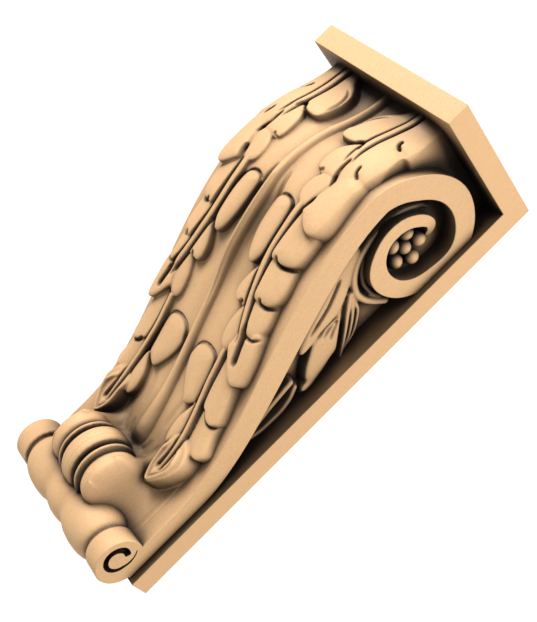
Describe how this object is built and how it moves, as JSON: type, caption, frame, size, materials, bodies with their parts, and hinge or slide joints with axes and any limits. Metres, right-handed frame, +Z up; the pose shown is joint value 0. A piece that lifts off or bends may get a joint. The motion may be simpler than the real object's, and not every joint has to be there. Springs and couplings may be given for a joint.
{
  "type": "corbel",
  "caption": "Wall bracket with a back plate and square abacus, an S-curved front carved with acanthus leaves, side volutes and a turned roll at its foot.",
  "frame": {"origin": "middle of the plate's back face, which lies against the wall", "axes": "+Z up towards the abacus, +Y into the wall so that the carved front faces -Y, X across the corbel"},
  "size_m": [0.1244, 0.0987, 0.3113],
  "materials": {
    "wood": "carved, sanded smooth and left without a coating"
  },
  "bodies": {
    "root": {"corbel": "wood"}
  },
  "joints": []
}
